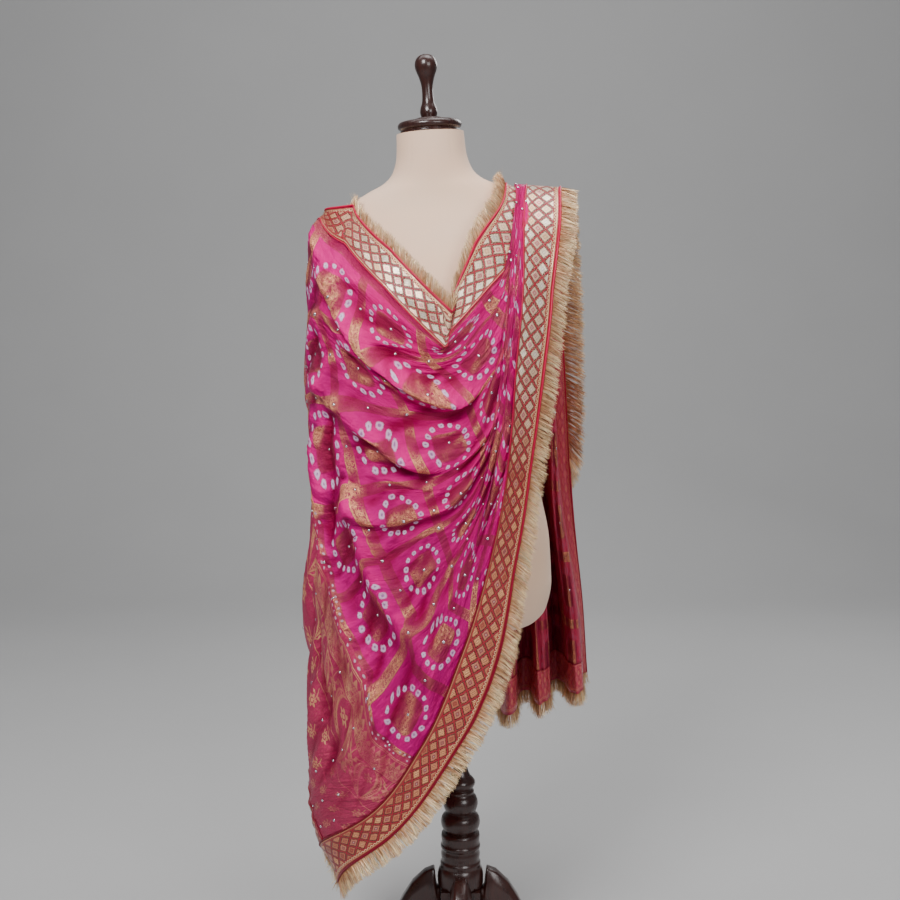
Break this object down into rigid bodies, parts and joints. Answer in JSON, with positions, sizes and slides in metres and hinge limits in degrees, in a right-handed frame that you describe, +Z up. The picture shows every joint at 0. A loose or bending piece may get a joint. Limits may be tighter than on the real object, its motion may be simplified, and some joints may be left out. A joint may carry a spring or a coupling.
{
  "type": "embroidered dupatta on a dress form stand",
  "caption": "Long brocade dupatta with woven borders and fringed edges, draped across a headless dress form and over one shoulder, on a turned wooden stand.",
  "frame": {"origin": "on the floor under the post, at the centre of the stand's four feet", "axes": "+Z up; the form faces -Y; +X is the side of the shoulder that the cloth passes over"},
  "size_m": [0.492, 0.492, 1.3722],
  "materials": {
    "field": "glossy silk-like brocade weave",
    "border": "metallic woven border",
    "fringe": "gold thread fringe",
    "form": "matt cotton cover",
    "wood": "dark polished"
  },
  "bodies": {
    "root": {"dupatta_field": "field", "border_neckline": "border", "border_outer": "border", "border_front_end": "border", "border_back_end": "border", "fringe_neckline": "fringe", "fringe_outer": "fringe", "fringe_front_end": "fringe", "fringe_back_end": "fringe", "torso_form": "form", "neck_cap": "wood", "finial": "wood", "post": "wood", "hub": "wood", "leg_1": "wood", "leg_2": "wood", "leg_3": "wood", "leg_4": "wood"}
  },
  "joints": []
}
